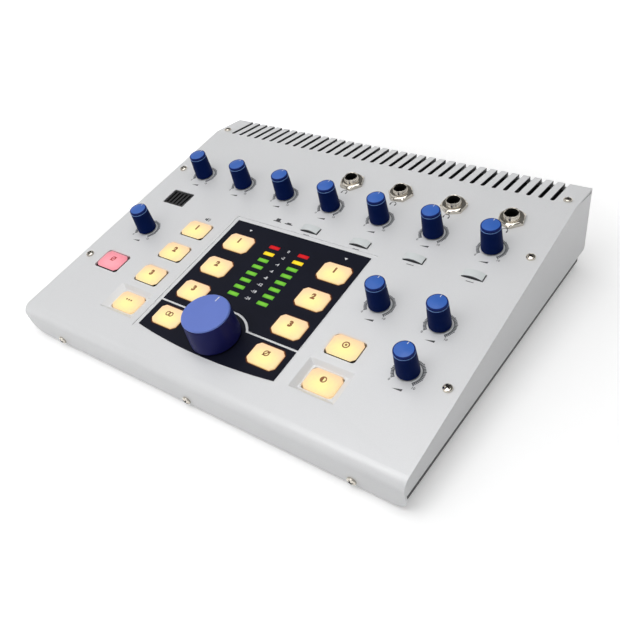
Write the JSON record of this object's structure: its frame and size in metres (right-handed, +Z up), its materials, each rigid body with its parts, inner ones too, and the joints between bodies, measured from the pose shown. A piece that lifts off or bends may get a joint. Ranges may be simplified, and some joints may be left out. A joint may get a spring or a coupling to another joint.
{
  "type": "studio monitor controller",
  "caption": "Wedge-shaped desktop controller with a sloping panel of turning knobs, lit push caps, meter lamps and jack sockets.",
  "frame": {"origin": "middle of the bounding box in X and Y, on the table plane under the feet", "axes": "+Z up, +X to the user's right, -Y towards the user, so the control panel slopes up towards +Y"},
  "size_m": [0.3048, 0.254, 0.0739],
  "materials": {
    "painted_sheet": "satin pale silver-grey",
    "dark_sheet": "matte black powder coat",
    "overlay_black": "semi-gloss black film",
    "lamp_red": "clear",
    "lamp_yellow": "clear",
    "lamp_green": "clear",
    "board_green": "satin",
    "part_dark": "matte",
    "part_pale": "matte",
    "part_metal": "satin",
    "nickel": "bright",
    "knob_blue": "semi-gloss",
    "cap_cream": "translucent satin",
    "cap_pink": "translucent satin",
    "cap_grey": "satin",
    "ribbon_grey": "matte",
    "foot_rubber": "matte"
  },
  "bodies": {
    "case": {"top_cover": "painted_sheet", "base_tray": "dark_sheet", "control_overlay": "overlay_black", "meter_red": "lamp_red", "meter_yellow": "lamp_yellow", "meter_green": "lamp_green", "meter_block": "part_dark", "control_board": "board_green", "phones_board": "board_green", "rear_board": "board_green", "control_pots": "part_metal", "lit_switches": "part_pale", "source_switches": "part_dark", "phones_jacks": "nickel", "jack_nuts": "nickel", "mic_grille": "part_dark", "mic_capsule": "part_metal", "case_screws": "nickel", "rear_jacks": "nickel", "rca_sockets": "part_dark", "ground_post": "nickel", "power_inlet": "part_dark", "power_switch": "part_dark", "ribbon_cable": "ribbon_grey", "board_posts": "part_metal", "board_screws": "part_metal", "rubber_feet": "foot_rubber", "relays": "part_pale"},
    "knob_speaker_1": {"knob_speaker_1": "knob_blue"},
    "knob_speaker_2": {"knob_speaker_2": "knob_blue"},
    "knob_speaker_3": {"knob_speaker_3": "knob_blue"},
    "knob_phones_1": {"knob_phones_1": "knob_blue"},
    "knob_phones_2": {"knob_phones_2": "knob_blue"},
    "knob_phones_3": {"knob_phones_3": "knob_blue"},
    "knob_phones_4": {"knob_phones_4": "knob_blue"},
    "knob_talkback": {"knob_talkback": "knob_blue"},
    "knob_cue_in": {"knob_cue_in": "knob_blue"},
    "knob_cue_out": {"knob_cue_out": "knob_blue"},
    "knob_dim": {"knob_dim": "knob_blue"},
    "knob_main": {"knob_main": "knob_blue"},
    "cap_speaker_1": {"cap_speaker_1": "cap_cream"},
    "cap_speaker_2": {"cap_speaker_2": "cap_cream"},
    "cap_speaker_3": {"cap_speaker_3": "cap_cream"},
    "cap_main_1": {"cap_main_1": "cap_cream"},
    "cap_main_2": {"cap_main_2": "cap_cream"},
    "cap_main_3": {"cap_main_3": "cap_cream"},
    "cap_mono": {"cap_mono": "cap_cream"},
    "cap_cue_1": {"cap_cue_1": "cap_cream"},
    "cap_cue_2": {"cap_cue_2": "cap_cream"},
    "cap_cue_3": {"cap_cue_3": "cap_cream"},
    "cap_mute": {"cap_mute": "cap_cream"},
    "cap_phono": {"cap_phono": "cap_cream"},
    "cap_dim": {"cap_dim": "cap_cream"},
    "cap_talk": {"cap_talk": "cap_cream"},
    "cap_red": {"cap_red": "cap_pink"},
    "source_cap_1": {"source_cap_1": "cap_grey"},
    "source_cap_2": {"source_cap_2": "cap_grey"},
    "source_cap_3": {"source_cap_3": "cap_grey"},
    "source_cap_4": {"source_cap_4": "cap_grey"},
    "power_rocker": {"power_rocker": "part_dark"}
  },
  "joints": [
    {"name": "knob_speaker_1_turn", "type": "hinge", "parent": "case", "child": "knob_speaker_1", "pos_m": [-0.1206, 0.03712, 0.05397], "axis": [0, -0.1736, 0.9848], "range_deg": [-150, 150]},
    {"name": "knob_speaker_2_turn", "type": "hinge", "parent": "case", "child": "knob_speaker_2", "pos_m": [-0.0804, 0.03712, 0.05397], "axis": [0, -0.1736, 0.9848], "range_deg": [-150, 150]},
    {"name": "knob_speaker_3_turn", "type": "hinge", "parent": "case", "child": "knob_speaker_3", "pos_m": [-0.0402, 0.03712, 0.05397], "axis": [0, -0.1736, 0.9848], "range_deg": [-150, 150]},
    {"name": "knob_phones_1_turn", "type": "hinge", "parent": "case", "child": "knob_phones_1", "pos_m": [0, 0.03712, 0.05397], "axis": [0, -0.1736, 0.9848], "range_deg": [-150, 150]},
    {"name": "knob_phones_2_turn", "type": "hinge", "parent": "case", "child": "knob_phones_2", "pos_m": [0.0402, 0.03712, 0.05397], "axis": [0, -0.1736, 0.9848], "range_deg": [-150, 150]},
    {"name": "knob_phones_3_turn", "type": "hinge", "parent": "case", "child": "knob_phones_3", "pos_m": [0.0804, 0.03712, 0.05397], "axis": [0, -0.1736, 0.9848], "range_deg": [-150, 150]},
    {"name": "knob_phones_4_turn", "type": "hinge", "parent": "case", "child": "knob_phones_4", "pos_m": [0.1206, 0.03712, 0.05397], "axis": [0, -0.1736, 0.9848], "range_deg": [-150, 150]},
    {"name": "knob_talkback_turn", "type": "hinge", "parent": "case", "child": "knob_talkback", "pos_m": [-0.1206, -0.02995, 0.04215], "axis": [0, -0.1736, 0.9848], "range_deg": [-150, 150]},
    {"name": "knob_cue_in_turn", "type": "hinge", "parent": "case", "child": "knob_cue_in", "pos_m": [0.0804, -0.02995, 0.04215], "axis": [0, -0.1736, 0.9848], "range_deg": [-150, 150]},
    {"name": "knob_cue_out_turn", "type": "hinge", "parent": "case", "child": "knob_cue_out", "pos_m": [0.1206, -0.02995, 0.04215], "axis": [0, -0.1736, 0.9848], "range_deg": [-150, 150]},
    {"name": "knob_dim_turn", "type": "hinge", "parent": "case", "child": "knob_dim", "pos_m": [0.1206, -0.06639, 0.03572], "axis": [0, -0.1736, 0.9848], "range_deg": [-150, 150]},
    {"name": "knob_main_turn", "type": "hinge", "parent": "case", "child": "knob_main", "pos_m": [0, -0.09081, 0.03141], "axis": [0, -0.1736, 0.9848], "range_deg": [-150, 150]},
    {"name": "cap_speaker_1_push", "type": "slide", "parent": "case", "child": "cap_speaker_1", "axis": [0, -0.1736, 0.9848], "range_m": [-0.0012, 0], "stiffness_N_per_m": 600},
    {"name": "cap_speaker_2_push", "type": "slide", "parent": "case", "child": "cap_speaker_2", "axis": [0, -0.1736, 0.9848], "range_m": [-0.0012, 0], "stiffness_N_per_m": 600},
    {"name": "cap_speaker_3_push", "type": "slide", "parent": "case", "child": "cap_speaker_3", "axis": [0, -0.1736, 0.9848], "range_m": [-0.0012, 0], "stiffness_N_per_m": 600},
    {"name": "cap_main_1_push", "type": "slide", "parent": "case", "child": "cap_main_1", "axis": [0, -0.1736, 0.9848], "range_m": [-0.0012, 0], "stiffness_N_per_m": 600},
    {"name": "cap_main_2_push", "type": "slide", "parent": "case", "child": "cap_main_2", "axis": [0, -0.1736, 0.9848], "range_m": [-0.0012, 0], "stiffness_N_per_m": 600},
    {"name": "cap_main_3_push", "type": "slide", "parent": "case", "child": "cap_main_3", "axis": [0, -0.1736, 0.9848], "range_m": [-0.0012, 0], "stiffness_N_per_m": 600},
    {"name": "cap_mono_push", "type": "slide", "parent": "case", "child": "cap_mono", "axis": [0, -0.1736, 0.9848], "range_m": [-0.0012, 0], "stiffness_N_per_m": 600},
    {"name": "cap_cue_1_push", "type": "slide", "parent": "case", "child": "cap_cue_1", "axis": [0, -0.1736, 0.9848], "range_m": [-0.0012, 0], "stiffness_N_per_m": 600},
    {"name": "cap_cue_2_push", "type": "slide", "parent": "case", "child": "cap_cue_2", "axis": [0, -0.1736, 0.9848], "range_m": [-0.0012, 0], "stiffness_N_per_m": 600},
    {"name": "cap_cue_3_push", "type": "slide", "parent": "case", "child": "cap_cue_3", "axis": [0, -0.1736, 0.9848], "range_m": [-0.0012, 0], "stiffness_N_per_m": 600},
    {"name": "cap_mute_push", "type": "slide", "parent": "case", "child": "cap_mute", "axis": [0, -0.1736, 0.9848], "range_m": [-0.0012, 0], "stiffness_N_per_m": 600},
    {"name": "cap_phono_push", "type": "slide", "parent": "case", "child": "cap_phono", "axis": [0, -0.1736, 0.9848], "range_m": [-0.0012, 0], "stiffness_N_per_m": 600},
    {"name": "cap_dim_push", "type": "slide", "parent": "case", "child": "cap_dim", "axis": [0, -0.1736, 0.9848], "range_m": [-0.0012, 0], "stiffness_N_per_m": 600},
    {"name": "cap_talk_push", "type": "slide", "parent": "case", "child": "cap_talk", "axis": [0, -0.1736, 0.9848], "range_m": [-0.0012, 0], "stiffness_N_per_m": 600},
    {"name": "cap_red_push", "type": "slide", "parent": "case", "child": "cap_red", "axis": [0, -0.1736, 0.9848], "range_m": [-0.0012, 0], "stiffness_N_per_m": 600},
    {"name": "source_cap_1_push", "type": "slide", "parent": "case", "child": "source_cap_1", "axis": [0, -0.1736, 0.9848], "range_m": [-0.0016, 0], "stiffness_N_per_m": 600},
    {"name": "source_cap_2_push", "type": "slide", "parent": "case", "child": "source_cap_2", "axis": [0, -0.1736, 0.9848], "range_m": [-0.0016, 0], "stiffness_N_per_m": 600},
    {"name": "source_cap_3_push", "type": "slide", "parent": "case", "child": "source_cap_3", "axis": [0, -0.1736, 0.9848], "range_m": [-0.0016, 0], "stiffness_N_per_m": 600},
    {"name": "source_cap_4_push", "type": "slide", "parent": "case", "child": "source_cap_4", "axis": [0, -0.1736, 0.9848], "range_m": [-0.0016, 0], "stiffness_N_per_m": 600},
    {"name": "power_rocker_swing", "type": "hinge", "parent": "case", "child": "power_rocker", "pos_m": [0.098, 0.11613, 0.0415], "axis": [1, 0, 0], "range_deg": [0, 24]}
  ]
}
